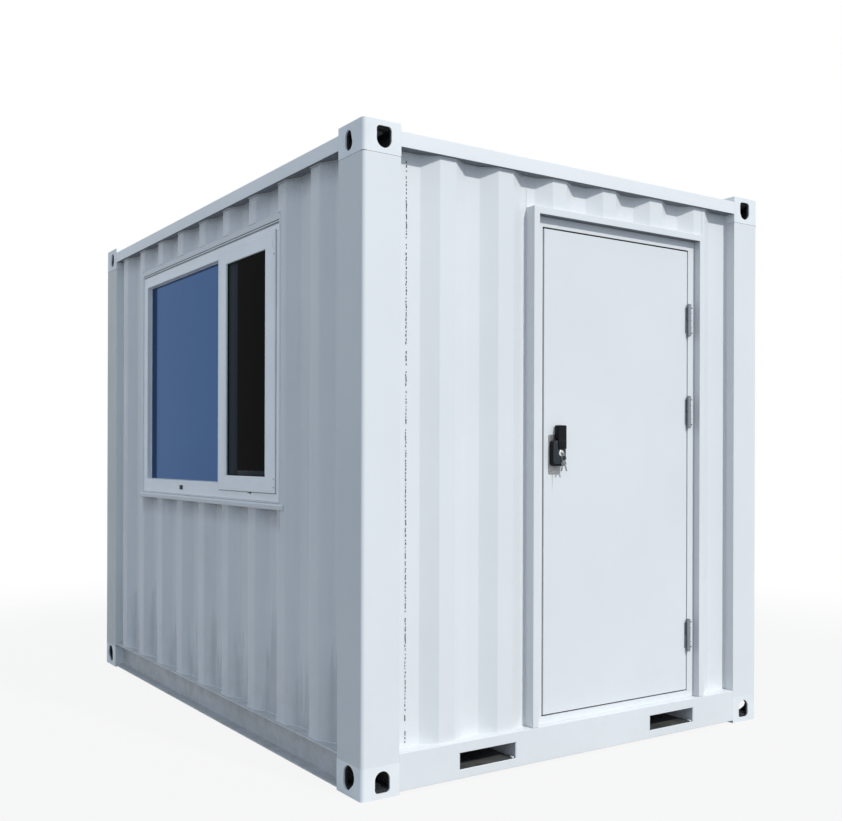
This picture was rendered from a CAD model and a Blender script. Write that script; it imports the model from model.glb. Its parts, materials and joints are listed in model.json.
"""Looks of the container office: paint, glass, seams, seals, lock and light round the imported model."""

import json
import logging
import math
import random
from collections.abc import Callable, Iterable, Sequence
from dataclasses import dataclass
from enum import Enum
from typing import NamedTuple

import bmesh
import bpy
from mathutils import Matrix, Vector

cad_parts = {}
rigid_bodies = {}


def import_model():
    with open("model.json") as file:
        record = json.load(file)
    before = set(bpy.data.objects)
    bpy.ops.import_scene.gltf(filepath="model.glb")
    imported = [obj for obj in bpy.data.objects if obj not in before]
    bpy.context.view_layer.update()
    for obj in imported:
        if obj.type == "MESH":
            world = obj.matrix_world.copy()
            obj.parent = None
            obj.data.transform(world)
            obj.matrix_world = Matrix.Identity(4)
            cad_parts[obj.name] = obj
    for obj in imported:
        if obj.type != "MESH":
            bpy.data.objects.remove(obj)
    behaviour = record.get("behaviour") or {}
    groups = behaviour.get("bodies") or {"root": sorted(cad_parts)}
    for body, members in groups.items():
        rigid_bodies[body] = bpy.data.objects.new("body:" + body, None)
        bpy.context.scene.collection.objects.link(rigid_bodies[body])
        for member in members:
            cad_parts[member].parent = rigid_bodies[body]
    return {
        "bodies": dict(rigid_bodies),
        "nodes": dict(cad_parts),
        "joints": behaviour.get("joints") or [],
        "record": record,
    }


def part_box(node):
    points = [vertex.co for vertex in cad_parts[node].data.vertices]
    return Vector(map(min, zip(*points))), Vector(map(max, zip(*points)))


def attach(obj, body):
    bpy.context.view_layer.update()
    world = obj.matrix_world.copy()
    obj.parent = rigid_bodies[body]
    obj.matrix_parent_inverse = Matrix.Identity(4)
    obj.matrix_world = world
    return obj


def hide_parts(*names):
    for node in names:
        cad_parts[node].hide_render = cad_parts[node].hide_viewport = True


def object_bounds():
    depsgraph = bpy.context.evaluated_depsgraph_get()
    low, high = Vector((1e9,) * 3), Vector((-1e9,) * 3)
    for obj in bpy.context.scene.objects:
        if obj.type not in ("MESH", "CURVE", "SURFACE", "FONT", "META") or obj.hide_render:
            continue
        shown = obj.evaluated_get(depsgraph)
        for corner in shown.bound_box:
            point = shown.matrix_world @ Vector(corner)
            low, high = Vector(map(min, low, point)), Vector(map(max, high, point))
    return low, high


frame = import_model()
CAD_LOW, CAD_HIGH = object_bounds()
LOG = logging.getLogger("container_office")

Point = tuple[float, float, float]
Color = tuple[float, float, float]
Place = Callable[[float, float, float], Point]


class Body(Enum):
    """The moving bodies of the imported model."""

    BUILDING = "building"
    DOOR = "door"


class Slot(Enum):
    """The material slots of the record that pieces take."""

    PAINT = "white_paint"
    WINDOW = "window_white"
    BLACK = "black_plastic"
    STEEL = "plain_steel"


class Extent(NamedTuple):
    """The box of a CAD node at rest, in metres."""

    x0: float
    y0: float
    z0: float
    x1: float
    y1: float
    z1: float


def extent(node: str) -> Extent:
    """The box of one CAD node."""
    low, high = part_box(node)
    return Extent(*low, *high)


# shader graph


class Value:
    """A shader socket that takes part in Python arithmetic."""

    def __init__(self, graph: "Graph", socket: bpy.types.NodeSocket) -> None:
        """Keep the socket and the graph that it belongs to."""
        self.graph = graph
        self.socket = socket

    def _math(self, operation: str, first: "Value | float", second: "Value | float" = 0.0) -> "Value":
        """Add one Math node.

        Args:
            operation: The node's operation.
            first: Its first input.
            second: Its second input.

        Returns:
            The result as a value.
        """
        return self.graph.node("ShaderNodeMath", {"operation": operation}, {0: first, 1: second})

    def __add__(self, other: "Value | float") -> "Value":
        """Sum."""
        return self._math("ADD", self, other)

    def __sub__(self, other: "Value | float") -> "Value":
        """Difference."""
        return self._math("SUBTRACT", self, other)

    def __rsub__(self, other: float) -> "Value":
        """Difference from a number."""
        return self._math("SUBTRACT", other, self)

    def __mul__(self, other: "Value | float") -> "Value":
        """Product."""
        return self._math("MULTIPLY", self, other)

    def __mod__(self, other: float) -> "Value":
        """Remainder."""
        return self._math("MODULO", self, other)

    def __abs__(self) -> "Value":
        """Size without its sign."""
        return self._math("ABSOLUTE", self)

    __radd__ = __add__
    __rmul__ = __mul__

    def least(self, other: "Value | float") -> "Value":
        """The smaller of two values."""
        return self._math("MINIMUM", self, other)

    def most(self, other: "Value | float") -> "Value":
        """The larger of two values."""
        return self._math("MAXIMUM", self, other)

    def between(self, low: float, high: float) -> "Value":
        """Rise smoothly from 0 at low to 1 at high, which may be the lower number.

        Args:
            low: Where the result is 0.
            high: Where the result is 1.

        Returns:
            The smooth step.
        """
        if low > high:
            return 1.0 - self.between(high, low)
        settings = {"interpolation_type": "SMOOTHSTEP"}
        return self.graph.node("ShaderNodeMapRange", settings, {"Value": self, 1: low, 2: high})


class Graph:
    """The node tree of one material, or of the world."""

    def __init__(self, name: str, world: bpy.types.World | None = None) -> None:
        """Start an empty tree.

        Args:
            name: The new material's name.
            world: The world whose tree is built in place of a material's.
        """
        self.owner = world or bpy.data.materials.new(name)
        self.owner.use_nodes = True
        self.tree = self.owner.node_tree
        self.tree.nodes.clear()

    def node(
        self, kind: str, settings: dict | None = None, inputs: dict | None = None, out: int = 0
    ) -> Value:
        """Add a node, with its settings first and then the values or links of its sockets.

        Args:
            kind: The node's type.
            settings: Attributes of the node.
            inputs: Values, numbers or colours by socket name or index.
            out: Index of the output that is returned.

        Returns:
            That output as a value.
        """
        made = self.tree.nodes.new(kind)
        for name, setting in (settings or {}).items():
            setattr(made, name, setting)
        for key, value in (inputs or {}).items():
            if isinstance(value, Value):
                self.tree.links.new(value.socket, made.inputs[key])
            else:
                made.inputs[key].default_value = value
        return Value(self, made.outputs[out] if made.outputs else None)

    def place(self, stretch: Point = (1.0, 1.0, 1.0)) -> Value:
        """Object coordinates, stretched along each axis."""
        place = self.node("ShaderNodeTexCoord", out=3)
        if stretch == (1.0, 1.0, 1.0):
            return place
        return self.node("ShaderNodeVectorMath", {"operation": "MULTIPLY"}, {0: place, 1: stretch})

    def axis(self, index: int, vector: Value | None = None) -> Value:
        """One of the three numbers of a vector, the place by default."""
        return self.node("ShaderNodeSeparateXYZ", inputs={0: vector or self.place()}, out=index)

    def underside(self) -> Value:
        """1 where the surface faces down, else 0."""
        return self.axis(2, self.node("ShaderNodeNewGeometry", out=1)).between(-0.55, -0.85)

    def noise(
        self, scale: float, detail: float = 3.0, rough: float = 0.55, stretch: Point = (1.0, 1.0, 1.0)
    ) -> Value:
        """Noise from 0 to 1 over the object's own coordinates."""
        inputs = {"Vector": self.place(stretch), "Scale": scale, "Detail": detail, "Roughness": rough}
        return self.node("ShaderNodeTexNoise", inputs=inputs)

    def mix(self, share: Value | float, first: "Value | Color", second: "Value | Color") -> Value:
        """Mix two colours.

        Args:
            share: How much of the second colour.
            first: The first colour.
            second: The second colour.

        Returns:
            The mixed colour.
        """
        pair = {6 + i: c if isinstance(c, Value) else (*c, 1.0) for i, c in enumerate((first, second))}
        return self.node("ShaderNodeMix", {"data_type": "RGBA"}, {0: share, **pair}, out=2)

    def bump(
        self, height: Value, distance: float, strength: float = 1.0, normal: Value | None = None
    ) -> Value:
        """A bumped normal, on top of another where one is given."""
        inputs = {"Strength": strength, "Distance": distance, "Height": height}
        if normal:
            inputs["Normal"] = normal
        return self.node("ShaderNodeBump", inputs=inputs)

    def output(self, shader: Value) -> bpy.types.Material:
        """Join the shader to the material's surface."""
        self.node("ShaderNodeOutputMaterial", inputs={"Surface": shader})
        return self.owner

    def surface(self, **sockets: "Value | float | tuple") -> bpy.types.Material:
        """Finish the material with one principled shader, its sockets by name with _ for a space."""
        inputs = {name.replace("_", " "): value for name, value in sockets.items()}
        return self.output(self.node("ShaderNodeBsdfPrincipled", inputs=inputs))


def tinted(color: Color, by: float) -> Color:
    """A colour with all three numbers scaled."""
    return tuple(c * by for c in color)


# finishes


DUST: Color = (0.43, 0.4, 0.35)
SOOT: Color = (0.2, 0.22, 0.24)
GRIT: Color = (0.36, 0.34, 0.31)
DAMP: Color = (0.06, 0.072, 0.09)
RUN_OFF: Color = (0.42, 0.41, 0.39)
HOLLOW_GREY: Color = (0.33, 0.35, 0.37)
RINSED: Color = (0.85, 0.86, 0.87)
RUBBED: Color = (0.4, 0.37, 0.33)
RUST_STAIN: Color = (0.06, 0.055, 0.055)
GRIME: Color = (0.4, 0.39, 0.36)


@dataclass(frozen=True)
class Drip:
    """A run of dirty water down a face, at one place across it."""

    x: float
    half: float
    high: float
    low: float


@dataclass(frozen=True)
class Paint:
    """Sprayed paint on steel, with streaks, a dusty foot, dirty undersides and wavy sheet."""

    name: str
    color: Color = (0.79, 0.805, 0.82)
    gloss: float = 0.42
    waviness: float = 0.0012
    dust: float = 0.16
    streak: float = 0.07
    under: float = 0.92
    flanks: float = 1.0
    hollow_dirt: float = 0.0
    ledges: tuple[float, ...] = ()
    drips: tuple[Drip, ...] = ()

    def make(self) -> bpy.types.Material:
        """Build the material."""
        g = Graph(self.name)
        runs = g.noise(9.0, 4.0, 0.6, (1.0, 1.0, 0.07)).between(0.42, 0.75)
        patches = g.noise(3.1, 5.0, 0.65).between(0.35, 0.8)
        height = g.axis(2)
        clouds = g.noise(1.3, 4.0).between(0.3, 0.7)
        color = g.mix(clouds, tinted(self.color, 0.975), tinted(self.color, 1.02))
        color = g.mix(runs * patches * (self.streak * 4.0), color, tinted(self.color, 0.78))
        foot = height.between(0.62, 0.0) * g.noise(16.0, 5.0, 0.7).between(0.35, 0.75)
        color = g.mix(foot * self.dust, color, DUST)
        if self.flanks < 1.0:
            flank = abs(g.axis(0, g.node("ShaderNodeNewGeometry", out=1))).between(0.75, 0.92)
            color = g.mix(flank, color, tinted(self.color, self.flanks))
        if self.hollow_dirt:
            color = self.hollows(g, color)
        for ledge in self.ledges:
            ragged = height + g.noise(11.0, 5.0, 0.7, (1.0, 1.0, 0.3)) * 0.09
            below = ragged.between(ledge - 0.06, ledge + 0.035)
            below = below * height.between(ledge + 0.004, ledge - 0.001)
            color = g.mix(below * (g.noise(90.0, 4.0, 0.7) * 0.5 + 0.15), color, SOOT)
        specks = g.noise(260.0, 2.0).between(0.71, 0.76) * g.noise(4.0).between(0.5, 0.7)
        color = g.mix(specks * 0.35, color, GRIT)
        below = g.underside()
        grime = g.noise(120.0, 4.0, 0.7).between(0.72, 0.52) * 0.3 + 0.7
        color = g.mix(below * grime * self.under, color, DAMP)
        for drip in self.drips:
            across = abs(g.axis(0) - drip.x + (g.noise(30.0) * 0.006 - 0.003)).between(drip.half, 0.0)
            along = height.between(drip.low, drip.high) * height.between(drip.high + 0.002, drip.high)
            color = g.mix(across * along * 0.75, color, RUN_OFF)
        rough = patches * 0.1 + foot * 0.2 + (self.gloss - 0.05)
        normal = g.bump(g.noise(4.2, 2.0, 0.4, (1.0, 1.0, 0.35)), self.waviness * 5.0, 0.5)
        normal = g.bump(g.noise(420.0, 2.0), 0.00022, 0.35, normal)
        return g.surface(Base_Color=color, Roughness=rough, Normal=normal, IOR=1.48)

    def hollows(self, g: Graph, color: Value) -> Value:
        """Dirt low down in the hollows of the side walls, with upright streaks above it."""
        hollow = abs(g.axis(0)).between(CAD_HIGH.x - 0.026, CAD_HIGH.x - 0.048)
        runs = g.noise(17.0, 4.0, 0.65, (1.0, 1.0, 0.09)).between(0.36, 0.66)
        low = (g.axis(2) - runs * 0.34).between(0.34, 0.06)
        color = g.mix(hollow * low * self.hollow_dirt, color, HOLLOW_GREY)
        pale = g.noise(23.0, 3.0, 0.5, (1.0, 1.0, 0.06)).between(0.6, 0.75)
        return g.mix(pale * 0.16, color, RINSED)


@dataclass(frozen=True)
class CastPaint:
    """Paint over a rough casting, black and rusty in its hollow."""

    name: str
    size: Point
    color: Color = (0.87, 0.885, 0.9)
    hollow: Color = (0.018, 0.021, 0.026)

    def make(self) -> bpy.types.Material:
        """Build the material."""
        g = Graph(self.name)
        grain = g.noise(70.0, 5.0, 0.65)
        color = g.mix(g.noise(7.0, 4.0).between(0.3, 0.75), self.color, tinted(self.color, 0.92))
        rub = g.noise(24.0, 6.0, 0.72).between(0.66, 0.76)
        color = g.mix(rub * 0.4, color, RUBBED)
        inside = self.depth_in(g).between(0.0035, 0.0085)
        stain = g.mix(g.noise(60.0, 5.0, 0.7).between(0.5, 0.68), self.hollow, RUST_STAIN)
        color = g.mix(inside, color, stain)
        normal = g.bump(grain, 0.0018, 0.3)
        normal = g.bump(g.noise(300.0, 2.0), 0.0003, 0.4, normal)
        rough = grain * 0.2 + inside * 0.3 + 0.38
        return g.surface(Base_Color=color, Roughness=rough, Normal=normal, IOR=1.48)

    def depth_in(self, g: Graph) -> Value:
        """How deep a point lies inside the box of its casting."""
        deepest = None
        for index, (outer, size) in enumerate(zip(CAD_HIGH, self.size)):
            from_outer = outer - abs(g.axis(index))
            if index == 2:
                from_outer = g.axis(2).least(outer - g.axis(2))
            here = from_outer.least(size - from_outer)
            deepest = here if deepest is None else deepest.least(here)
        return deepest


@dataclass(frozen=True)
class Moulding:
    """Smooth extruded or moulded plastic, or powder coated profile."""

    name: str
    color: Color
    gloss: float = 0.4
    grain: float = 0.00015
    mottle: float = 0.05
    coat: float = 0.0
    grime: float = 0.0
    ior: float = 1.47

    def make(self) -> bpy.types.Material:
        """Build the material."""
        g = Graph(self.name)
        clouds = g.noise(6.0, 4.0).between(0.3, 0.7)
        color = g.mix(clouds, self.color, tinted(self.color, 1.0 - self.mottle))
        haze = g.noise(40.0, 4.0, 0.65)
        dirt = g.noise(26.0, 6.0, 0.75).between(0.58, 0.72)
        color = g.mix(dirt * self.grime, color, GRIME)
        normal = g.bump(g.noise(650.0, 2.0), self.grain, 0.5)
        rough = haze * 0.14 + self.gloss
        return g.surface(
            Base_Color=color, Roughness=rough, Normal=normal, Coat_Weight=self.coat, IOR=self.ior
        )


@dataclass(frozen=True)
class Pane:
    """Window glass with a reflecting film, a little cloudy."""

    name: str
    color: Color
    metallic: float
    alpha: float
    gloss: float = 0.03
    ior: float = 1.45
    edge: Color = (1.0, 1.0, 1.0)

    def make(self) -> bpy.types.Material:
        """Build the material."""
        g = Graph(self.name)
        cloud = g.noise(1.7, 3.0, 0.5, (1.0, 1.0, 0.6)).between(0.3, 0.7)
        color = g.mix(cloud, tinted(self.color, 0.96), self.color)
        smear = g.noise(22.0, 4.0, 0.6, (1.0, 1.0, 0.25)).between(0.55, 0.8)
        return g.surface(
            Base_Color=color,
            Metallic=self.metallic,
            Roughness=smear * 0.04 + self.gloss,
            Alpha=self.alpha,
            IOR=self.ior,
            Specular_Tint=(*self.edge, 1.0),
        )


@dataclass(frozen=True)
class Metal:
    """Bare metal, brushed along Z or plain."""

    name: str
    color: Color = (0.56, 0.57, 0.58)
    gloss: float = 0.28
    stretch: Point = (90.0, 90.0, 3.0)

    def make(self) -> bpy.types.Material:
        """Build the material."""
        g = Graph(self.name)
        lines = g.noise(18.0, 3.0, 0.6, self.stretch)
        color = g.mix(lines, tinted(self.color, 0.86), self.color)
        normal = g.bump(lines, 0.00006, 0.5)
        return g.surface(Base_Color=color, Metallic=1.0, Roughness=lines * 0.18 + self.gloss, Normal=normal)


@dataclass(frozen=True)
class Board:
    """Lining or deck board with joints at an even pitch."""

    name: str
    color: Color
    pitch: Point
    joint: float = 0.003
    grain: Point = (1.0, 1.0, 1.0)
    gloss: float = 0.6
    contrast: float = 0.1

    def make(self) -> bpy.types.Material:
        """Build the material."""
        g = Graph(self.name)
        veins = g.noise(14.0, 5.0, 0.6, self.grain)
        color = g.mix(veins, tinted(self.color, 1.0 - self.contrast), self.color)
        groove = 0.0
        for index, pitch in enumerate(self.pitch):
            if pitch:
                groove = ((g.axis(index) + 50 * pitch) % pitch).between(self.joint, 0.0) + groove
        color = g.mix(groove * 0.7, color, tinted(self.color, 0.35))
        normal = g.bump(1.0 - groove, 0.002, 0.6)
        normal = g.bump(veins, 0.0003, 0.4, normal)
        return g.surface(Base_Color=color, Roughness=veins * 0.15 + self.gloss, Normal=normal, IOR=1.45)


# building sizes


@dataclass
class Box:
    """Outer sizes of the building and its corner pieces, read from the frame."""

    half_x: float = CAD_HIGH.x
    half_y: float = CAD_HIGH.y
    top: float = CAD_HIGH.z
    corner_round: float = 0.012

    def __post_init__(self) -> None:
        """Read the size of a corner casting."""
        casting = extent("front_left_bottom_casting")
        self.casting = (casting.x1 - casting.x0, casting.y1 - casting.y0, casting.z1 - casting.z0)

    def corner_line(self, right: int, back: int, inset: float, z: float) -> list[Point]:
        """A level line round the two outer faces of one corner.

        Args:
            right: 1 on the right side, -1 on the left.
            back: 1 at the back, -1 at the front.
            inset: How far the line lies inside the faces.
            z: Its height.

        Returns:
            Its points.
        """
        x, y, r = self.half_x - inset, self.half_y - inset, self.corner_round
        points = [(self.half_x - self.casting[0], y)]
        for step in range(5):
            turn = step * math.pi / 8
            points.append((x - r + r * math.sin(turn), y - r + r * math.cos(turn)))
        points.append((x, self.half_y - self.casting[1]))
        return [(right * px, back * py, z) for px, py in points]


BOX = Box()
CORNERS = {"front_left": (-1, -1), "front_right": (1, -1), "back_left": (-1, 1), "back_right": (1, 1)}
LOCK_PLATE = extent("lock_plate")
KEY_DRIP = Drip(LOCK_PLATE.x0 + 0.022, 0.006, LOCK_PLATE.z0, LOCK_PLATE.z0 - 0.09)
UNDER_TOP_RAIL = extent("left_top_rail").z0
UNDER_WINDOW = extent("window_sill").z0

FRONT_PAINT = Paint("front_sheet_paint", dust=0.05, streak=0.02).make()
SIDE_PAINT = Paint(
    "side_sheet_paint", (0.715, 0.725, 0.735), streak=0.11, hollow_dirt=0.42, ledges=(UNDER_TOP_RAIL,)
).make()
LOW_PAINT = Paint(
    "low_sheet_paint", (0.715, 0.725, 0.735), streak=0.11, hollow_dirt=0.42, ledges=(UNDER_WINDOW,)
).make()
BACK_PAINT = Paint("back_sheet_paint", (0.7, 0.71, 0.72), streak=0.11).make()
FRAME_PAINT = Paint(
    "frame_paint", (0.79, 0.805, 0.82), waviness=0.0004, dust=0.04, streak=0.03, flanks=0.86
).make()
TOP_RAIL_PAINT = Paint("top_rail_paint", (0.86, 0.87, 0.88), waviness=0.0004, dust=0.04, streak=0.03).make()
RAIL_PAINT = Paint("side_rail_paint", (0.6, 0.61, 0.62), waviness=0.0006, dust=0.5, streak=0.12).make()
FAR_PAINT = Paint(
    "far_post_paint", (0.79, 0.81, 0.8), waviness=0.0004, dust=0.04, streak=0.05, flanks=0.71
).make()
LEAF_PAINT = Paint(
    "leaf_paint",
    (0.785, 0.8, 0.815),
    gloss=0.36,
    waviness=0.0005,
    dust=0.04,
    streak=0.02,
    drips=(KEY_DRIP,),
).make()
CASTING = CastPaint("casting_paint", BOX.casting).make()
POCKET_FLOOR = Paint(
    "pocket_floor_paint", (0.06, 0.064, 0.068), waviness=0.0003, dust=0.2, streak=0.2
).make()
POCKET_SIDE = Paint("pocket_side_paint", (0.82, 0.83, 0.84), waviness=0.0003, dust=0.5, streak=0.2).make()
UNDER_PAINT = Paint(
    "under_paint", (0.05, 0.05, 0.052), gloss=0.6, waviness=0.0003, dust=0.2, streak=0.3
).make()
PROFILE = Moulding("window_profile", (0.97, 0.975, 0.98), gloss=0.34, coat=0.1, grime=0.08).make()
RUBBER = Moulding("seal_rubber", (0.014, 0.014, 0.016), gloss=0.62, grain=0.0004, ior=1.25).make()
GREY_RUBBER = Moulding("grey_rubber", (0.13, 0.14, 0.155), gloss=0.62, grain=0.0004, ior=1.3).make()
SEALANT = Moulding("sealant", (0.7, 0.71, 0.72), gloss=0.5, grain=0.0006, mottle=0.12, grime=0.2).make()
SEAM_FILLER = Moulding("seam_filler", (0.17, 0.18, 0.19), gloss=0.6, grain=0.0006, mottle=0.3).make()
BLACK = Moulding("lock_plastic", (0.006, 0.007, 0.009), gloss=0.38, grain=0.0003, ior=1.22).make()
CUP_GREY = Moulding(
    "cup_metal", (0.036, 0.044, 0.054), gloss=0.36, grain=0.0003, mottle=0.3, ior=1.3
).make()
SHADE_GREY = Moulding("gap_grey", (0.33, 0.345, 0.36), gloss=0.6, mottle=0.2, grime=0.2).make()
STILE = Moulding("inner_stile", (0.016, 0.026, 0.034), gloss=0.5, grain=0.0002, ior=1.15).make()
BLUE_PANE = Pane("blue_pane", (0.045, 0.092, 0.212), 1.0, 0.97, gloss=0.12, edge=(0.62, 0.7, 0.82)).make()
DARK_PANE = Pane("dark_pane", (0.002, 0.002, 0.0025), 0.0, 0.97, ior=1.045).make()
BRUSHED = Metal("brushed_plate", (0.33, 0.345, 0.36), gloss=0.4).make()
CHROME = Metal("bright_metal", color=(0.74, 0.74, 0.74), gloss=0.1, stretch=(12.0, 12.0, 12.0)).make()
KEY_METAL = Metal("key_metal", color=(0.24, 0.25, 0.27), gloss=0.25, stretch=(60.0, 60.0, 60.0)).make()
HINGE_METAL = Metal("hinge_metal", color=(0.27, 0.3, 0.34), gloss=0.42, stretch=(12.0, 12.0, 12.0)).make()
LINING = Board("lining_board", (0.74, 0.73, 0.7), pitch=(0.6, 0.6, 0.0), gloss=0.5, contrast=0.03).make()
CEILING = Board("ceiling_board", (0.78, 0.78, 0.76), pitch=(0.0, 0.6, 0.0), gloss=0.5, contrast=0.03).make()
DECK = Board(
    "deck_board", (0.3, 0.235, 0.17), pitch=(0.14, 0.0, 0.0), grain=(9.0, 0.5, 9.0), contrast=0.35
).make()


# shapes


class Shape:
    """A mesh in the making, built with mesh operators."""

    def __init__(self) -> None:
        """Start with nothing."""
        self.mesh = bmesh.new()

    def soften(self, edges: Iterable[bmesh.types.BMEdge], offset: float, segments: int = 2) -> None:
        """Round edges."""
        bmesh.ops.bevel(
            self.mesh,
            geom=list(edges),
            offset=offset,
            affect="EDGES",
            segments=segments,
            profile=0.5,
            material=-1,
            clamp_overlap=True,
        )

    def block(self, low: Point, high: Point, round_by: float = 0.001) -> "Shape":
        """Add a block with rounded edges.

        Args:
            low: Its lowest corner.
            high: Its highest corner.
            round_by: The radius of its edges.

        Returns:
            This shape.
        """
        size = Vector(high) - Vector(low)
        turn = Matrix.Translation((Vector(low) + Vector(high)) / 2) @ Matrix.Diagonal((*size, 1.0))
        made = bmesh.ops.create_cube(self.mesh, size=1.0, matrix=turn)
        self.soften({e for v in made["verts"] for e in v.link_edges}, round_by)
        return self

    def bead(self, points: Sequence[Point], radius: float, sides: int = 6) -> "Shape":
        """Add a bead along a line, its section turning with the line.

        Args:
            points: The middle line of the bead.
            radius: The radius of its section.
            sides: Number of sides of its section.

        Returns:
            This shape.
        """
        line = [Vector(p) for p in points]
        steps = [(after - before).normalized() for before, after in zip(line, line[1:])]
        ways = [(a + b).normalized() for a, b in zip([steps[0], *steps], [*steps, steps[-1]])]
        turn = Matrix.Translation(line[0]) @ ways[0].to_track_quat("Z", "Y").to_matrix().to_4x4()
        ring = bmesh.ops.create_circle(self.mesh, cap_ends=True, segments=sides, radius=radius, matrix=turn)
        edges = list({e for v in ring["verts"] for e in v.link_edges})
        for index in range(len(line) - 1):
            made = bmesh.ops.extrude_edge_only(self.mesh, edges=edges)
            verts = [v for v in made["geom"] if isinstance(v, bmesh.types.BMVert)]
            swing = ways[index].rotation_difference(ways[index + 1]).to_matrix().to_4x4()
            move = Matrix.Translation(line[index + 1]) @ swing @ Matrix.Translation(-line[index])
            bmesh.ops.transform(self.mesh, matrix=move, verts=verts)
            edges = [e for e in made["geom"] if isinstance(e, bmesh.types.BMEdge) and e.is_boundary]
        bmesh.ops.edgeloop_fill(self.mesh, edges=edges)
        return self

    def sheet(self, low: Point, high: Point) -> tuple[bmesh.types.BMFace, Vector]:
        """Add one upright rectangular face between two corners, and tell the way into the building."""
        size = Vector(high) - Vector(low)
        inward = Vector((0.0, 1.0, 0.0)) if size.x else Vector((1.0, 0.0, 0.0))
        across, up = Vector((size.x, size.y, 0.0)), Vector((0.0, 0.0, size.z))
        turn = Matrix((across, up, inward)).transposed().to_4x4()
        turn.translation = (Vector(low) + Vector(high)) / 2
        grid = bmesh.ops.create_grid(self.mesh, x_segments=1, y_segments=1, size=0.5, matrix=turn)
        return grid["verts"][0].link_faces[0], inward

    def plate(
        self, low: Point, high: Point, depth: float, corner: float, round_by: float = 0.0008
    ) -> "Shape":
        """Add an upright plate with rounded corners.

        Args:
            low: One corner of the plate's front.
            high: The opposite corner, in the same plane.
            depth: How far it reaches back from its front.
            corner: The radius of its corners.
            round_by: The radius of its front edge.

        Returns:
            This shape.
        """
        face, inward = self.sheet(low, high)
        cut = bmesh.ops.bevel(
            self.mesh,
            geom=face.verts[:],
            offset=corner,
            affect="VERTICES",
            segments=5,
            profile=0.5,
            material=-1,
        )
        face = max(cut["verts"][0].link_faces, key=lambda f: len(f.verts))
        made = bmesh.ops.extrude_face_region(self.mesh, geom=[face], use_keep_orig=True)["geom"]
        bmesh.ops.translate(
            self.mesh, verts=[v for v in made if isinstance(v, bmesh.types.BMVert)], vec=inward * depth
        )
        self.soften(face.edges[:], round_by, 2)
        return self

    def rim(self, low: Point, high: Point, width: float, depth: float, round_by: float = 0.0008) -> "Shape":
        """Add a rectangular rim that faces left or forward.

        Args:
            low: One outer corner of the rim's front.
            high: The opposite outer corner, in the same plane.
            width: The width of its face.
            depth: How far it reaches back from its front.
            round_by: The radius of its edges.

        Returns:
            This shape.
        """
        face, inward = self.sheet(low, high)
        rim = bmesh.ops.inset_region(
            self.mesh, faces=[face], thickness=width, use_even_offset=True, use_boundary=True
        )["faces"]
        bmesh.ops.delete(self.mesh, geom=[face], context="FACES_ONLY")
        made = bmesh.ops.extrude_face_region(self.mesh, geom=rim, use_keep_orig=True)["geom"]
        verts = [v for v in made if isinstance(v, bmesh.types.BMVert)]
        bmesh.ops.translate(self.mesh, verts=verts, vec=inward * depth)
        faces = set(rim) | {f for v in verts for f in v.link_faces}
        bent = turned_edges(math.degrees(0.5))
        self.soften({e for f in faces for e in f.edges if bent(e)}, round_by, 1)
        return self

    def stud(
        self, at: Point, toward: Point, radius: float, height: float, slot: bool = True, sides: int = 12
    ) -> "Shape":
        """Add a round head: a screw, a rivet or a cap.

        Args:
            at: The middle of its foot.
            toward: The way that it faces.
            radius: Its radius.
            height: Its height.
            slot: Whether its middle is sunk, as a drive is.
            sides: Number of its sides.

        Returns:
            This shape.
        """
        way = Vector(toward).normalized()
        turn = Matrix.Translation(at) @ way.to_track_quat("Z", "Y").to_matrix().to_4x4()
        ring = bmesh.ops.create_circle(self.mesh, cap_ends=True, segments=sides, radius=radius, matrix=turn)
        foot = next(f for f in ring["verts"][0].link_faces if len(f.verts) == sides)
        made = bmesh.ops.extrude_face_region(self.mesh, geom=[foot], use_keep_orig=True)["geom"]
        verts = [v for v in made if isinstance(v, bmesh.types.BMVert)]
        bmesh.ops.translate(self.mesh, verts=verts, vec=way * height * 0.6)
        top = next(f for f in made if isinstance(f, bmesh.types.BMFace))
        bmesh.ops.inset_region(self.mesh, faces=[top], thickness=radius * 0.35, depth=height * 0.4)
        if slot:
            bmesh.ops.inset_region(self.mesh, faces=[top], thickness=radius * 0.2, depth=0.0)
            bmesh.ops.inset_region(self.mesh, faces=[top], thickness=radius * 0.05, depth=-height * 0.5)
        return self

    def ring(self, at: Point, axis: Point, radius: float, thick: float, steps: int = 24) -> "Shape":
        """Add a round wire ring.

        Args:
            at: Its middle.
            axis: The axis of the ring.
            radius: From the middle to the wire's middle.
            thick: Radius of the wire.
            steps: Steps round the ring.

        Returns:
            This shape.
        """
        way = Vector(axis).normalized()
        out = way.orthogonal().normalized()
        facing = out.cross(way).to_track_quat("Z", "Y").to_matrix().to_4x4()
        turn = Matrix.Translation(Vector(at) + out * radius) @ facing
        wire = bmesh.ops.create_circle(self.mesh, cap_ends=False, segments=8, radius=thick, matrix=turn)
        edges = list({e for v in wire["verts"] for e in v.link_edges})
        geom = wire["verts"] + edges
        bmesh.ops.spin(
            self.mesh, geom=geom, cent=at, axis=way, angle=2 * math.pi, steps=steps, use_merge=True
        )
        return self

    def tilt(self, about: Point, axis: str, degrees: float) -> "Shape":
        """Turn everything made so far about a point."""
        turn = Matrix.Rotation(math.radians(degrees), 3, axis)
        bmesh.ops.rotate(self.mesh, cent=about, matrix=turn, verts=self.mesh.verts)
        return self

    def fit(
        self, name: str, finish: bpy.types.Material, slot: Slot = Slot.PAINT, body: Body = Body.BUILDING
    ) -> None:
        """Turn the shape into a piece of the building or the door, with its finish and slot."""
        dress(self.finish(name), finish, body, slot)

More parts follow.
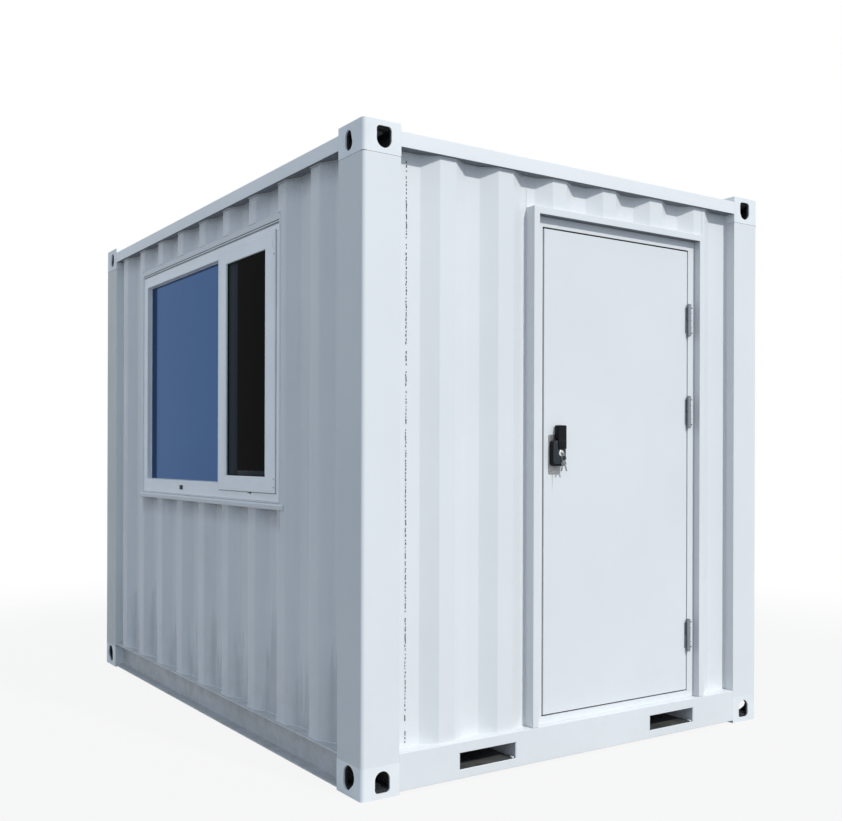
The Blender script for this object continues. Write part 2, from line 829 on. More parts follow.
    def finish(self, name: str, sharp: float = 35.0, tidy: bool = True) -> bpy.types.Object:
        """Turn the shape into an object with smooth shading between its sharp edges.

        Args:
            name: The piece's name.
            sharp: Edges that turn by more degrees stay sharp.
            tidy: Whether doubles are merged and faces turned outwards.

        Returns:
            The object.
        """
        if tidy:
            bmesh.ops.remove_doubles(self.mesh, verts=self.mesh.verts, dist=1e-6)
            bmesh.ops.recalc_face_normals(self.mesh, faces=self.mesh.faces)
        mesh = bpy.data.meshes.new(name)
        self.mesh.to_mesh(mesh)
        self.mesh.free()
        mesh.polygons.foreach_set("use_smooth", [True] * len(mesh.polygons))
        mesh.set_sharp_from_angle(angle=math.radians(sharp))
        made = bpy.data.objects.new(name, mesh)
        bpy.context.scene.collection.objects.link(made)
        return made


def dress(
    piece: bpy.types.Object,
    finish: bpy.types.Material,
    body: Body,
    slot: Slot,
    stands_for: Sequence[str] = (),
) -> None:
    """Give a piece its finish, body and slot.

    Args:
        piece: The piece.
        finish: Its material.
        body: The body that it rides on.
        slot: The record's slot that it takes its finish from.
        stands_for: CAD nodes that it replaces.
    """
    piece.data.materials.clear()
    piece.data.materials.append(finish)
    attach(piece, body.value)
    if stands_for:
        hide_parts(*stands_for)
    LOG.info("%s: %d faces on %s", piece.name, len(piece.data.polygons), body.value)


def paint_node(node: str, finish: bpy.types.Material) -> None:
    """Give a CAD node that stays its finish."""
    mesh = frame["nodes"][node].data
    mesh.materials.clear()
    mesh.materials.append(finish)


def turned_edges(low: float, high: float = 181.0) -> Callable[[bmesh.types.BMEdge], bool]:
    """A test for edges whose faces turn by an angle between two numbers of degrees."""
    return lambda edge: len(edge.link_faces) == 2 and low < math.degrees(edge.calc_face_angle(0.0)) < high


def corner_posts(edge: bmesh.types.BMEdge) -> bool:
    """Whether an edge is an outer one that runs from front to back."""
    along = (edge.verts[1].co - edge.verts[0].co).normalized()
    return edge.is_convex and abs(along.y) > 0.99 and turned_edges(math.degrees(0.5))(edge)


def softened(
    node: str,
    offset: float,
    finish: bpy.types.Material,
    slot: Slot = Slot.PAINT,
    body: Body = Body.BUILDING,
    segments: int = 2,
    pick: Callable[[bmesh.types.BMEdge], bool] = turned_edges(25.0),
) -> None:
    """Stand a copy with rounded edges in for a CAD node.

    Args:
        node: The node.
        offset: How far the rounding reaches from each edge.
        finish: The material of the copy.
        slot: The record's slot of the copy.
        body: The body that it rides on.
        segments: Steps of the rounding.
        pick: Which edges are rounded.
    """
    shape = Shape()
    mesh = shape.mesh
    mesh.from_mesh(frame["nodes"][node].data)
    bmesh.ops.remove_doubles(mesh, verts=mesh.verts, dist=1e-5)
    bmesh.ops.dissolve_limit(mesh, angle_limit=math.radians(0.5), verts=mesh.verts, edges=mesh.edges)
    shape.soften([e for e in mesh.edges if pick(e)], offset, segments)
    piece = shape.finish(node + "_soft", tidy=False)
    weigh = piece.modifiers.new("flat_faces", "WEIGHTED_NORMAL")
    weigh.keep_sharp = True
    dress(piece, finish, body, slot, [node])


# building


@dataclass
class SteelFrame:
    """Castings, posts and rails with rounded edges and their welds."""

    casting_round: float = 0.008
    post_round: float = 0.0022
    rail_round: float = 0.0035
    weld: float = 0.0028
    seam: float = 0.002

    def build(self) -> None:
        """Build and dress the frame."""
        for name in CORNERS:
            for level in ("top", "bottom"):
                softened(f"{name}_{level}_casting", self.casting_round, CASTING, segments=3)
            far = name == "back_left"
            softened(f"{name}_post", self.post_round, FAR_PAINT if far else FRAME_PAINT)
        for side in ("front", "back", "left", "right"):
            softened(f"{side}_top_rail", self.rail_round, TOP_RAIL_PAINT)
            low_paint = RAIL_PAINT if side in ("left", "right") else FRAME_PAINT
            softened(f"{side}_bottom_rail", 0.002, low_paint)
        self.post_welds()
        self.rail_welds()

    def post_welds(self) -> None:
        """Bright welds over the bottom castings and open dark seams under the top ones."""
        welds, seams = Shape(), Shape()
        for right, back in CORNERS.values():
            inset = self.weld * 0.9
            welds.bead(BOX.corner_line(right, back, inset, BOX.casting[2] + 0.001), self.weld)
            seams.bead(BOX.corner_line(right, back, self.seam * 0.88, BOX.top - BOX.casting[2]), self.seam)
        welds.fit("post_welds", FRAME_PAINT)
        seams.fit("casting_seams", SEAM_FILLER)

    def rail_welds(self) -> None:
        """Upright welds between each rail's ends and the castings."""
        shape = Shape()
        x_end, y_end = BOX.half_x - BOX.casting[0], BOX.half_y - BOX.casting[1]
        inset = self.weld * 0.9
        top, bottom = extent("front_top_rail"), extent("front_bottom_rail")
        for right, back in CORNERS.values():
            for rail in (top, bottom):
                ends = (rail.z0 + 0.002, rail.z1 - 0.002)
                shape.bead([(right * x_end, back * (BOX.half_y - inset), z) for z in ends], self.weld)
            ends = (top.z0 + 0.002, top.z1 - 0.002)
            shape.bead([(right * (BOX.half_x - inset), back * y_end, z) for z in ends], self.weld)
        shape.fit("rail_welds", FRAME_PAINT)


@dataclass
class Wave:
    """The corrugation of one wall, along its length from the outer face of the near post."""

    start: float
    end: float
    first: float
    flat: float
    waves: int
    run: float = 0.068
    face: float = 0.072
    crest: float = 0.016
    deep: float = 0.036

    @property
    def trough(self) -> float:
        """Depth of the hollows behind the building's face."""
        return self.crest + self.deep

    def crests(self) -> list[tuple[float, float]]:
        """Both ends of each crest's face."""
        pitch = 2 * self.run + self.face + self.flat
        starts = [self.first + k * pitch + self.run for k in range(self.waves)]
        return [(start, start + self.face) for start in starts]

    def line(self, low: float, high: float) -> list[tuple[float, float]]:
        """The outer line of the sheet between two places.

        Args:
            low: Where the line starts.
            high: Where it ends.

        Returns:
            Pairs of a place along the wall and the depth behind its outer face.
        """
        points = [(self.start, self.trough)]
        for near, far in self.crests():
            points += [(near - self.run, self.trough), (near, self.crest)]
            points += [(far, self.crest), (far + self.run, self.trough)]
        points.append((self.end, self.trough))
        inner = [p for p in points if low < p[0] < high]
        return [(low, self._depth(points, low)), *inner, (high, self._depth(points, high))]

    @staticmethod
    def _depth(points: list[tuple[float, float]], u: float) -> float:
        """The depth of the sheet at one place."""
        for (u0, d0), (u1, d1) in zip(points, points[1:]):
            if u0 <= u <= u1:
                return d0 + (d1 - d0) * (u - u0) / max(u1 - u0, 1e-9)
        return points[-1][1]


def on_front(u: float, depth: float, z: float) -> Point:
    """A point on the front wall, u from its left end."""
    return (u - BOX.half_x, depth - BOX.half_y, z)


def on_back(u: float, depth: float, z: float) -> Point:
    """A point on the back wall, u from its left end."""
    return (u - BOX.half_x, BOX.half_y - depth, z)


def on_left(u: float, depth: float, z: float) -> Point:
    """A point on the left wall, u from the front."""
    return (depth - BOX.half_x, u - BOX.half_y, z)


def on_right(u: float, depth: float, z: float) -> Point:
    """A point on the right wall, u from the front."""
    return (BOX.half_x - depth, u - BOX.half_y, z)


@dataclass
class Walls:
    """Corrugated sheets with pressed bends, welds along the rails and a stitched lap by the near post."""

    front_bend: float = 0.0035
    side_bend: float = 0.008
    weld: float = 0.0022
    lap_in: float = 0.056
    stitch_gap: float = 0.0125

    def __post_init__(self) -> None:
        """Work out the two wave lines and the heights that the sheets run between."""
        cast_x, cast_y, _ = BOX.casting
        self.end_wave = Wave(cast_x, 2 * BOX.half_x - cast_x, 0.279, 0.070, 6)
        self.side_wave = Wave(cast_y, 2 * BOX.half_y - cast_y, 0.2855, 0.080, 9)
        self.high = extent("front_top_rail").z0
        self.low_end = extent("front_bottom_rail").z1
        self.low_side = extent("left_bottom_rail").z1

    def build(self) -> None:
        """Build and dress the walls and the roof."""
        bends = turned_edges(12.0, 60.0)
        for part in ("left", "right", "over_door"):
            softened(f"front_wall_{part}", self.front_bend, FRONT_PAINT, segments=2, pick=bends)
        sides = ["right_wall", "left_wall_front", "left_wall_back", "left_wall_over_window"]
        for node in sides:
            softened(node, self.side_bend, SIDE_PAINT, segments=3, pick=bends)
        softened("left_wall_under_window", self.side_bend, LOW_PAINT, segments=3, pick=bends)
        softened("back_wall", self.side_bend, BACK_PAINT, segments=3, pick=bends)
        softened("roof", 0.004, BACK_PAINT, pick=bends)
        self.rail_welds()
        self.edge_welds()
        self.lap()

    def rail_welds(self) -> None:
        """Welds that follow the sheets along the rails, thicker where each crest meets the top rail."""
        front, sides = Shape(), Shape()
        door = extent("door_frame")
        door_near, door_far = door.x0 + BOX.half_x, door.x1 + BOX.half_x
        window = extent("window_surround")
        near, far = window.y0 + BOX.half_y, window.y1 + BOX.half_y
        ends, flanks = self.end_wave, self.side_wave
        runs: list[tuple[Shape, Place, Wave, float, float, float, float]] = [
            (front, on_front, ends, ends.start, door_near, self.low_end, self.high),
            (front, on_front, ends, door_far, ends.end, self.low_end, self.high),
            (front, on_front, ends, door_near, door_far, door.z1, self.high),
            (sides, on_back, ends, ends.start, ends.end, self.low_end, self.high),
            (sides, on_left, flanks, flanks.start, flanks.end, self.low_side, self.high),
            (sides, on_left, flanks, near, far, extent("window_sill").z0, window.z1),
            (sides, on_right, flanks, flanks.start, flanks.end, self.low_side, self.high),
        ]
        for shape, place, wave, low, high, foot, head in runs:
            inner = foot > 1.0
            away = self.weld * 0.7 * (-1 if inner else 1)
            for z in (foot + away, head - away):
                line = wave.line(low + self.weld, high - self.weld)
                shape.bead([place(u, d - self.weld * 0.6, z) for u, d in line], self.weld, 5)
            if inner:
                continue
            for start, stop in wave.crests():
                if low < start and stop < high:
                    ends_of = [(start + 0.004, 0.0014), (stop - 0.004, 0.0014)]
                    line = [place(u, wave.crest - d, head - self.weld * 1.2) for u, d in ends_of]
                    shape.bead(line, self.weld * 1.35, 5)
        front.fit("front_sheet_welds", FRONT_PAINT)
        sides.fit("side_sheet_welds", FRAME_PAINT)

    def edge_welds(self) -> None:
        """Upright edge welds at the posts, and the joints over the door frame's sides."""
        front, sides = Shape(), Shape()
        ends, flanks = self.end_wave, self.side_wave
        walls = [
            (front, on_front, ends, self.low_end),
            (sides, on_back, ends, self.low_end),
            (sides, on_left, flanks, self.low_side),
            (sides, on_right, flanks, self.low_side),
        ]
        for shape, place, wave, foot in walls:
            for u in (wave.start + self.weld * 0.6, wave.end - self.weld * 0.6):
                heights = (foot + 0.004, self.high - 0.004)
                shape.bead([place(u, wave.trough - self.weld * 0.5, z) for z in heights], self.weld * 1.3)
        door = extent("door_frame")
        for x in (door.x0, door.x1):
            u = x + BOX.half_x
            depth = self.end_wave.line(u, u)[0][1] - 0.0006
            front.bead([on_front(u, depth, z) for z in (door.z1 + 0.004, self.high - 0.003)], 0.0016)
        front.fit("front_edge_welds", FRONT_PAINT)
        sides.fit("side_edge_welds", SIDE_PAINT)

    def lap(self) -> None:
        """The stitched lap beside the near post, its stitches uneven in length and place."""
        draw = random.Random(41)
        stitches = Shape()
        z = self.low_end + 0.02
        while z < self.high - 0.03:
            if draw.random() > 0.06:
                u = self.end_wave.start + self.lap_in + draw.uniform(-0.0012, 0.0012)
                long = draw.uniform(0.004, 0.0115)
                line = [on_front(u, self.end_wave.trough - 0.0002, z + step) for step in (0.0, long)]
                stitches.bead(line, draw.uniform(0.0016, 0.0027), 5)
            z += self.stitch_gap * draw.uniform(0.75, 1.3)
        stitches.fit("lap_stitches", SEAM_FILLER)


@dataclass
class Underframe:
    """Floor, joists and fork pockets."""

    centre: float = 0.509
    half: float = 0.138

    def build(self) -> None:
        """Dress the nodes and add the weld tabs of the pockets."""
        finishes = {
            "fork_pocket_floors": POCKET_FLOOR,
            "fork_pocket_roofs": UNDER_PAINT,
            "fork_pocket_sides": POCKET_SIDE,
            "floor_joists": UNDER_PAINT,
            "floor_deck": DECK,
            "wall_linings": LINING,
            "ceiling_lining": CEILING,
        }
        for node, finish in finishes.items():
            paint_node(node, finish)
        shape = Shape()
        floor, roof = extent("fork_pocket_floors").z1, extent("fork_pocket_roofs").z0
        outer = BOX.half_y
        for middle in (-self.centre, self.centre):
            for back in (-1, 1):
                y = sorted((back * (outer - 0.006), back * (outer - 0.022)))
                low = (middle + self.half - 0.016, y[0], floor + 0.0005)
                shape.block(low, (middle + self.half - 0.006, y[1], floor + 0.006), 0.0012)
                for side in (-1, 1):
                    x, face = middle + side * (self.half - 0.0012), back * (outer - 0.003)
                    shape.bead([(x, face, z) for z in (floor + 0.002, roof - 0.002)], 0.0022)
        shape.fit("pocket_weld_tabs", FRAME_PAINT)


@dataclass
class Door:
    """The door: frame, sill, leaf, hinges and seals."""

    seal_wide: float = 0.012
    seal_deep: float = 0.0044
    fold_in: float = 0.03
    pin_cap: float = 0.0078
    axis_in: float = 0.016
    axis_deep: float = 0.023
    plate_deep: float = 0.030
    cover_near: float = 0.0115
    cover_far: float = 0.027
    cover_half: float = 0.055
    barrel_half: float = 0.07
    hinges: tuple[float, ...] = (0.431, 1.433, 1.846)
    plugs: tuple[float, ...] = (1.02, 1.45)

    def __post_init__(self) -> None:
        """Read the leaf and work out the hinges' axis."""
        self.leaf = extent("door_leaf")
        self.axis_x = extent("hinge_leaf_halves").x0 + self.axis_in
        self.axis_y = self.axis_deep - BOX.half_y

    def build(self) -> None:
        """Build and dress the door."""
        softened("door_frame", 0.0025, FRAME_PAINT)
        softened("door_rebate", 0.0018, FRAME_PAINT)
        softened("door_sill", 0.0025, LEAF_PAINT)
        softened("door_leaf", 0.0028, LEAF_PAINT, body=Body.DOOR, segments=3)
        crisp = turned_edges(60.0)
        softened("hinge_frame_halves", 0.0006, HINGE_METAL, segments=1, pick=crisp)
        softened("hinge_leaf_halves", 0.0006, HINGE_METAL, body=Body.DOOR, segments=1, pick=crisp)
        self.seals()
        self.hinge_trim()
        self.leaf_fold()
        self.jamb_screws()

    def seals(self) -> None:
        """The rubber seal on the stop behind the leaf."""
        leaf = self.leaf
        y = leaf.y1 + 0.0003
        low, high = (leaf.x0 - 0.004, y, leaf.z0 + 0.001), (leaf.x1 + 0.001, y, leaf.z1 + 0.002)
        shape = Shape().rim(low, high, self.seal_wide, self.seal_deep, 0.001)
        shape.fit("door_seal", GREY_RUBBER, Slot.BLACK)

    def hinge_trim(self) -> None:
        """Painted covers and end ticks on the frame plates, and caps on the barrels."""
        covers, ticks, caps, tops = Shape(), Shape(), Shape(), Shape()
        face = self.plate_deep - BOX.half_y
        near, far = self.axis_x + self.cover_near, self.axis_x + self.cover_far
        half = self.barrel_half
        for z in self.hinges:
            foot, head = z - self.cover_half, z + self.cover_half
            covers.block((near, face - 0.0012, foot), (far, face + 0.0005, head), 0.0005)
            for end in (-0.058, 0.054):
                low = (near - 0.001, face - 0.0016, z + end)
                ticks.block(low, (far + 0.001, face + 0.0004, z + end + 0.004), 0.0004)
            for step in (-0.032, 0.0, 0.032):
                ticks.stud(((near + far) / 2, face - 0.0012, z + step), (0, -1, 0), 0.0026, 0.0009)
            for shape, way in ((caps, -1), (tops, 1)):
                end = (self.axis_x, self.axis_y, z + way * half)
                shape.stud(end, (0, 0, way), self.pin_cap, 0.003, slot=False, sides=16)
            tops.ring((self.axis_x, self.axis_y, z + 0.002), (0, 0, 1), 0.0088, 0.0008, 20)
        covers.fit("hinge_plate_paint", FRAME_PAINT)
        ticks.fit("hinge_plate_ends", RUBBER, Slot.STEEL)
        caps.fit("hinge_foot_caps", HINGE_METAL, Slot.STEEL)
        tops.fit("hinge_pin_caps", HINGE_METAL, Slot.STEEL, body=Body.DOOR)

    def leaf_fold(self) -> None:
        """The folded border of the leaf's inner face."""
        leaf, inset = self.leaf, self.fold_in
        low, high = (leaf.x0 + inset, leaf.y1, leaf.z0 + inset), (leaf.x1 - inset, leaf.y1, leaf.z1 - inset)
        shape = Shape().rim(low, high, 0.004, 0.0012, 0.0004)
        shape.fit("leaf_inner_fold", LEAF_PAINT, body=Body.DOOR)

    def jamb_screws(self) -> None:
        """Two small plugs on the inner side of the left jamb."""
        shape = Shape()
        jamb = extent("door_rebate")
        for z in self.plugs:
            foot = (jamb.x0 - 0.0001, jamb.y0 - 0.012, z)
            shape.stud(foot, (1, 0, 0), 0.003, 0.001, slot=False, sides=10)
        shape.fit("jamb_plugs", HINGE_METAL, Slot.STEEL)


@dataclass
class Lock:
    """The plate, pull cup, case, barrel and keys of the door."""

    lip_low: float = 1.263
    lip_deep: float = 0.006
    key_round: float = 0.0009

    def __post_init__(self) -> None:
        """Read the plate, cup, case and barrel."""
        self.plate, self.cup = LOCK_PLATE, extent("lock_cup")
        self.case, self.barrel = extent("lock_case"), extent("lock_barrel")
        self.x = (self.barrel.x0 + self.barrel.x1) / 2
        self.z = (self.barrel.z0 + self.barrel.z1) / 2
        self.front = self.barrel.y0

    def build(self) -> None:
        """Build and dress the lock."""
        softened("lock_plate", 0.0012, BRUSHED, Slot.STEEL, Body.DOOR)
        softened("lock_cup", 0.009, BLACK, Slot.BLACK, Body.DOOR, segments=4, pick=corner_posts)
        softened("lock_case", 0.003, BLACK, Slot.BLACK, Body.DOOR, segments=3)
        softened("lock_barrel", 0.0015, CHROME, Slot.STEEL, Body.DOOR, pick=turned_edges(60.0))
        self.trim()
        self.fixings()
        self.keys()

    def trim(self) -> None:
        """The case's lower lip over the cup, and the cup's black rim."""
        case, cup = self.case, self.cup
        shape = Shape()
        low = (case.x0, cup.y0 - self.lip_deep, self.lip_low)
        shape.block(low, (case.x1, cup.y0 + 0.001, case.z0 + 0.004), 0.0024)
        shape.fit("lock_trim", BLACK, Slot.BLACK, body=Body.DOOR)
        y = cup.y0 - 0.0014
        low, high = (cup.x0 + 0.002, y, cup.z0 + 0.008), (cup.x1 - 0.004, y, cup.z1 - 0.003)
        face = Shape().plate(low, high, 0.003, 0.014)
        face.bead([(cup.x0 + 0.013, y, z) for z in (cup.z0 + 0.024, cup.z1 - 0.012)], 0.0012, 5)
        face.fit("cup_face", CUP_GREY, Slot.BLACK, body=Body.DOOR)

    def fixings(self) -> None:
        """Plate screws and the ring round the barrel."""
        shape = Shape()
        for z in (self.plate.z0 + 0.012, self.plate.z1 - 0.01):
            shape.stud((self.plate.x0 + 0.012, self.plate.y0, z), (0, -1, 0), 0.004, 0.0014)
        shape.ring((self.x, self.front + 0.003, self.z), (0, 1, 0), 0.0125, 0.0014)
        shape.fit("lock_fixings", KEY_METAL, Slot.STEEL, body=Body.DOOR)

    def keys(self) -> None:
        """One key in the barrel, and two more that hang from its ring."""
        keys, ring = Shape(), Shape()
        x, y, z = self.x, self.front - 0.0028, self.z
        keys.block((x + 0.002, y - 0.001, z - 0.012), (x + 0.015, y + 0.001, z + 0.0015), self.key_round)
        keys.block((x - 0.001, y - 0.001, z - 0.003), (x + 0.001, self.front + 0.002, z + 0.003), 0.0004)
        ring.ring((x + 0.010, y, z - 0.021), (0.06, 1, 0), 0.0115, 0.0011)
        for lean, step in ((17.0, 0.0018), (-19.0, -0.0004)):
            self.hanging_key(keys, (x + 0.010, y + step, z - 0.032), lean)
        keys.fit("keys", KEY_METAL, Slot.STEEL, body=Body.DOOR)
        ring.fit("key_ring", KEY_METAL, Slot.STEEL, body=Body.DOOR)

    def hanging_key(self, shape: Shape, at: Point, lean: float) -> None:
        """A key that hangs from the ring by its grip, flat to the door, bitted down one edge.

        Args:
            shape: The shape that takes it.
            at: Where it hangs from.
            lean: Degrees that it leans in the plane of the door.
        """
        x, y, z = at
        key = Shape()
        front, back = y - 0.0009, y + 0.0009
        key.block((x - 0.0085, front, z - 0.018), (x + 0.0085, back, z + 0.002), self.key_round * 0.9)
        key.block((x - 0.003, front, z - 0.044), (x + 0.003, back, z - 0.018), self.key_round * 0.7)
        for step in (0.024, 0.029, 0.034, 0.039):
            key.block((x + 0.0028, front, z - step - 0.0022), (x + 0.0043, back, z - step), 0.0003)
        key.tilt(at, "Y", lean)
        made = bpy.data.meshes.new("one_key")
        key.mesh.to_mesh(made)
        key.mesh.free()
        shape.mesh.from_mesh(made)
        bpy.data.meshes.remove(made)


@dataclass
class Window:
    """The two part window: frame, sash, panes, seals, sill and small fittings."""

    seal: float = 0.003
    bead: float = 0.011
    mullion: float = 0.635
    border: float = 0.055
    rail: float = 0.068
    sash_border: float = 0.092
    sash_rail: float = 0.067
    drain_at: float = 1.112
    drain_half: float = 0.0105
    button_at: float = 0.287
    drains_up: float = 0.034

    def __post_init__(self) -> None:
        """Read the frame, the sash and the two panes."""
        self.frame, self.sash = extent("window_frame"), extent("window_sash")
        self.pane, self.sash_pane = extent("window_glass"), extent("sash_glass")

    def build(self) -> None:
        """Build and dress the window."""
        softened("window_frame", 0.0022, PROFILE, Slot.WINDOW)
        softened("window_sash", 0.0022, PROFILE, Slot.WINDOW)
        softened("window_surround", 0.0015, FRAME_PAINT)
        softened("window_sill", 0.002, FRAME_PAINT)
        paint_node("window_glass", BLUE_PANE)
        paint_node("sash_glass", DARK_PANE)
        self.pane_seals()
        self.mouldings()
        self.sash_strips()
        self.fittings()
        self.caulk()

    def fixed_light(self) -> tuple[float, float, float, float]:
        """Near, far, low and high edges of the fixed light."""
        frame, rail = self.frame, self.rail
        return frame.y0 + self.mullion, frame.y1 - self.border, frame.z0 + rail, frame.z1 - rail

    def sash_light(self) -> tuple[float, float, float, float]:
        """Near, far, low and high edges of the light in the sash."""
        sash, border, rail = self.sash, self.sash_border, self.sash_rail
        return sash.y0 + border, sash.y1 - border, sash.z0 + rail, sash.z1 - rail

    def pane_seals(self) -> None:
        """The dark rubber lip round the sash pane, and the grey one round the fixed pane."""
        near, far, low, high = self.sash_light()
        x = self.sash_pane.x0 - 0.0045
        shape = Shape().rim((x, near, low), (x, far, high), self.seal, 0.0044)
        shape.fit("sash_pane_seal", RUBBER, Slot.BLACK)
        near, far, low, high = self.fixed_light()
        x = self.pane.x0 - 0.003
        shape = Shape().rim((x, near, low), (x, far, high), self.seal, 0.0029)
        shape.fit("fixed_pane_seal", SEALANT, Slot.WINDOW)

    def mouldings(self) -> None:
        """The glazing bead round the fixed light and the lip of the frame."""
        near, far, low, high = self.fixed_light()
        x, wide = self.frame.x0 - 0.0014, self.bead
        near, far, low, high = near - wide, far + wide, low - wide, high + wide
        shape = Shape().rim((x, near, low), (x, far, high), wide - 0.0005, 0.004, 0.001)
        shape.fit("glazing_bead", PROFILE, Slot.WINDOW)
        box, inset = self.frame, 0.0015
        x = box.x0 - 0.0022
        shape = Shape().rim(
            (x, box.y0 + inset, box.z0 + inset), (x, box.y1 - inset, box.z1 - inset), 0.005, 0.004, 0.0009
        )
        shape.fit("frame_lip", PROFILE, Slot.WINDOW)

    def sash_strips(self) -> None:
        """The raised line round the sash and the pale strip beside its pane."""
        box = self.sash
        x = box.x0 - 0.0012
        inset = 0.012
        shape = Shape().rim(
            (x, box.y0 + inset, box.z0 + inset), (x, box.y1 - inset, box.z1 - inset), 0.0024, 0.003, 0.0007
        )
        near, far, low, high = self.sash_light()
        shape.block((x, far + 0.006, low - 0.004), (x + 0.003, far + 0.03, high + 0.004), 0.0009)
        shape.fit("sash_strips", PROFILE, Slot.WINDOW)
        gap = Shape()
        x = self.frame.x0 - 0.0012
        low_corner, high_corner = (x, box.y0 - 0.003, box.z0 - 0.0035), (x, box.y1 + 0.003, box.z1 + 0.003)
        gap.rim(low_corner, high_corner, 0.004, 0.002, 0.0004)
        gap.fit("sash_gap", SHADE_GREY, Slot.BLACK)
        stile = Shape()
        x = self.sash_pane.x0 - 0.0006
        stile.block((x, far - 0.105, low + 0.003), (x + 0.0012, far - 0.007, high - 0.003), 0.0003)
        stile.block((x, near + 0.003, low + 0.003), (x + 0.0012, far - 0.106, low + 0.024), 0.0003)
        stile.fit("inner_stile", STILE, Slot.BLACK)

    def fittings(self) -> None:
        """Drain covers, the sash latch and the screws of the frame."""
        face, low = self.frame.x0, self.frame.z0
        covers, pale, screws = Shape(), Shape(), Shape()
        y, z, half = self.frame.y0 + self.drain_at, low + self.drains_up, self.drain_half
        covers.block((face - 0.004, y - 2 * half, z - half), (face + 0.001, y + 2 * half, z + half), 0.0012)
        x = face - 0.0026
        pale.rim((x, y - 0.0245, z - 0.0145), (x, y + 0.0245, z + 0.0145), 0.0035, 0.003)
        y, z = self.frame.y0 + self.button_at, low + self.drains_up - 0.001
        covers.stud((face, y, z), (-1, 0, 0), 0.0062, 0.003, sides=14)
        screws.block((face - 0.004, y + 0.012, z - 0.003), (face + 0.001, y + 0.026, z + 0.0005), 0.0008)
        sash = self.sash
        y, z = sash.y0 + 0.02, sash.z1 - 0.07
        pale.block((sash.x0 - 0.0018, y, z), (sash.x0 + 0.001, y + 0.01, z + 0.035))
        for z in (sash.z0 + 0.025, sash.z0 + 0.06, sash.z1 - 0.1):
            screws.stud((sash.x0, sash.y0 + 0.006, z), (-1, 0, 0), 0.0032, 0.0014)
        covers.fit("drain_covers", BLACK, Slot.BLACK)
        pale.fit("drain_rims", PROFILE, Slot.WINDOW)
        screws.fit("window_screws", HINGE_METAL, Slot.STEEL)

    def caulk(self) -> None:
        """The sealant line round the frame."""
        box = self.frame
        x = box.x0 - 0.001
        low, high = (x, box.y0 - 0.004, box.z0 - 0.002), (x, box.y1 + 0.004, box.z1 + 0.006)
        shape = Shape().rim(low, high, 0.006, 0.004, 0.0012)
        shape.fit("window_sealant", SEALANT, Slot.WINDOW)
        low, high = (x - 0.0006, box.y0, box.z1 - 0.014), (x + 0.003, box.y1, box.z1 + 0.001)
        head = Shape().block(low, high, 0.0008)
        head.fit("window_head_gap", SHADE_GREY, Slot.BLACK)


# studio


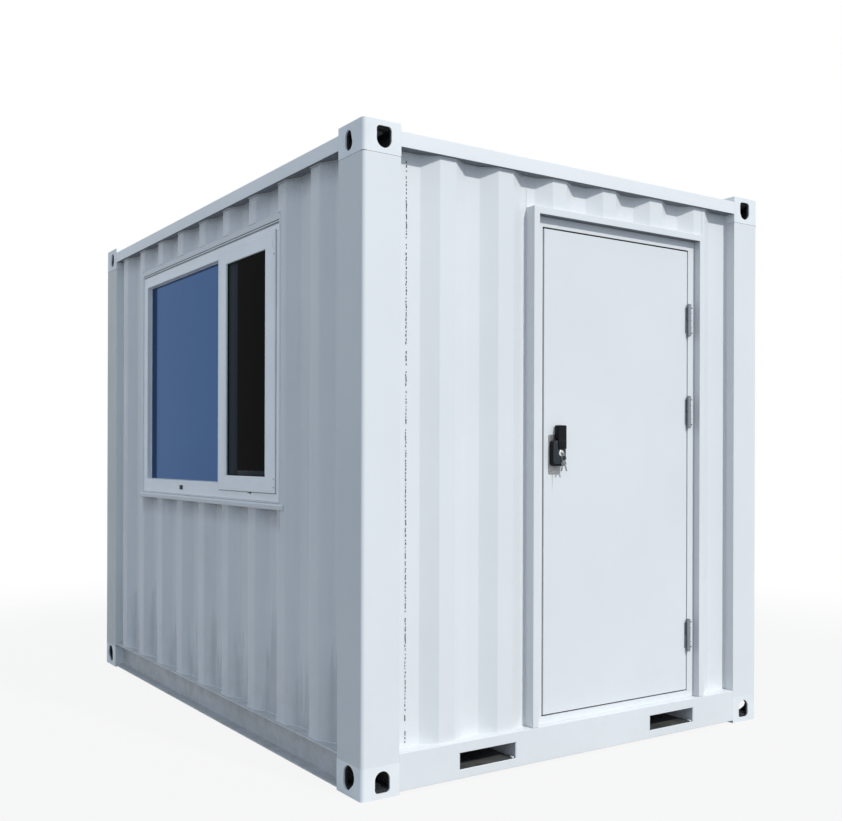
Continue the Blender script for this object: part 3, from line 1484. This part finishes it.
@dataclass
class Studio:
    """The floor, the light and the camera."""

    eye: Point = (-BOX.half_x - 1.8506, -BOX.half_y - 3.1309, 1.2313)
    yaw: float = 33.79
    roll: float = 0.164
    lens: float = 43.80
    shift: tuple[float, float] = (0.0019, 0.0543)
    sun_height: float = 41.0
    sun_side: float = 14.0
    sun: float = 2.3
    sun_spread: float = 2.5
    sun_color: Color = (1.0, 0.985, 0.935)
    sky: Color = (0.47, 0.575, 0.7)
    floor: float = 40.0

    def build(self) -> None:
        """Set up the studio."""
        self.lay_floor()
        self.light()
        self.camera()

    def lay_floor(self) -> None:
        """A pale floor that is white to the camera and keeps a soft shadow."""
        shape = Shape()
        bmesh.ops.create_grid(shape.mesh, x_segments=8, y_segments=8, size=self.floor)
        floor = shape.finish("studio_floor")
        g = Graph("studio_floor")
        tone = g.mix(g.noise(3.0), (0.26, 0.265, 0.27), (0.28, 0.28, 0.28))
        pale = g.node("ShaderNodeBsdfDiffuse", inputs={"Color": tone})
        white = g.node("ShaderNodeEmission", inputs={"Color": (1.0, 1.0, 1.0, 1.0), "Strength": 1.0})
        away = g.node("ShaderNodeVectorMath", {"operation": "LENGTH"}, {0: g.place()}, out=1)
        share = self.seen(g) * (away.between(2.5, 6.0) * 0.1 + 0.9)
        mixed = g.node("ShaderNodeMixShader", inputs={0: share, 1: pale, 2: white})
        floor.data.materials.append(g.output(mixed))

    @staticmethod
    def seen(g: Graph) -> Value:
        """1 for rays that show the background: from the camera, in a mirror or through glass."""
        camera, glossy, through = (g.node("ShaderNodeLightPath", out=out) for out in (0, 3, 6))
        return camera.most(glossy).most(through)

    def light(self) -> None:
        """One sun on the door face and a cool even sky."""
        world = bpy.data.worlds.new("studio_sky")
        bpy.context.scene.world = world
        g = Graph("studio_sky", world)
        color = g.mix(self.seen(g), self.sky, (1.0, 1.0, 1.0))
        sky = g.node("ShaderNodeBackground", inputs={"Color": color, "Strength": 1.0})
        g.node("ShaderNodeOutputWorld", inputs={"Surface": sky})
        lamp = bpy.data.lights.new("studio_sun", "SUN")
        lamp.energy = self.sun
        lamp.angle = math.radians(self.sun_spread)
        lamp.color = self.sun_color
        sun = bpy.data.objects.new("studio_sun", lamp)
        height, side = math.radians(self.sun_height), math.radians(self.sun_side)
        level = math.cos(height)
        toward = Vector((math.sin(side) * level, -math.cos(side) * level, math.sin(height)))
        sun.rotation_euler = toward.to_track_quat("Z", "Y").to_euler()
        sun.location = toward * 8.0
        bpy.context.scene.collection.objects.link(sun)

    def camera(self) -> None:
        """The camera at the place where the picture was taken."""
        data = bpy.data.cameras.new("studio_camera")
        data.lens = self.lens
        data.sensor_width = 36.0
        data.shift_x, data.shift_y = self.shift
        data.clip_start, data.clip_end = 0.05, 200.0
        camera = bpy.data.objects.new("studio_camera", data)
        camera.location = self.eye
        turn = Matrix.Rotation(math.radians(-self.yaw), 4, "Z") @ Matrix.Rotation(math.radians(90), 4, "X")
        camera.rotation_euler = (turn @ Matrix.Rotation(math.radians(self.roll), 4, "Z")).to_euler()
        bpy.context.scene.collection.objects.link(camera)
        bpy.context.scene.camera = camera
        bpy.context.scene.view_settings.view_transform = "Standard"


def main() -> None:
    """Build every sub-assembly and report its pieces."""
    logging.basicConfig(level=logging.INFO, format="%(message)s")
    for part in (Studio(), SteelFrame(), Walls(), Underframe(), Door(), Lock(), Window()):
        part.build()
        LOG.info("%s is done", type(part).__name__)


if __name__ == "__main__":
    main()
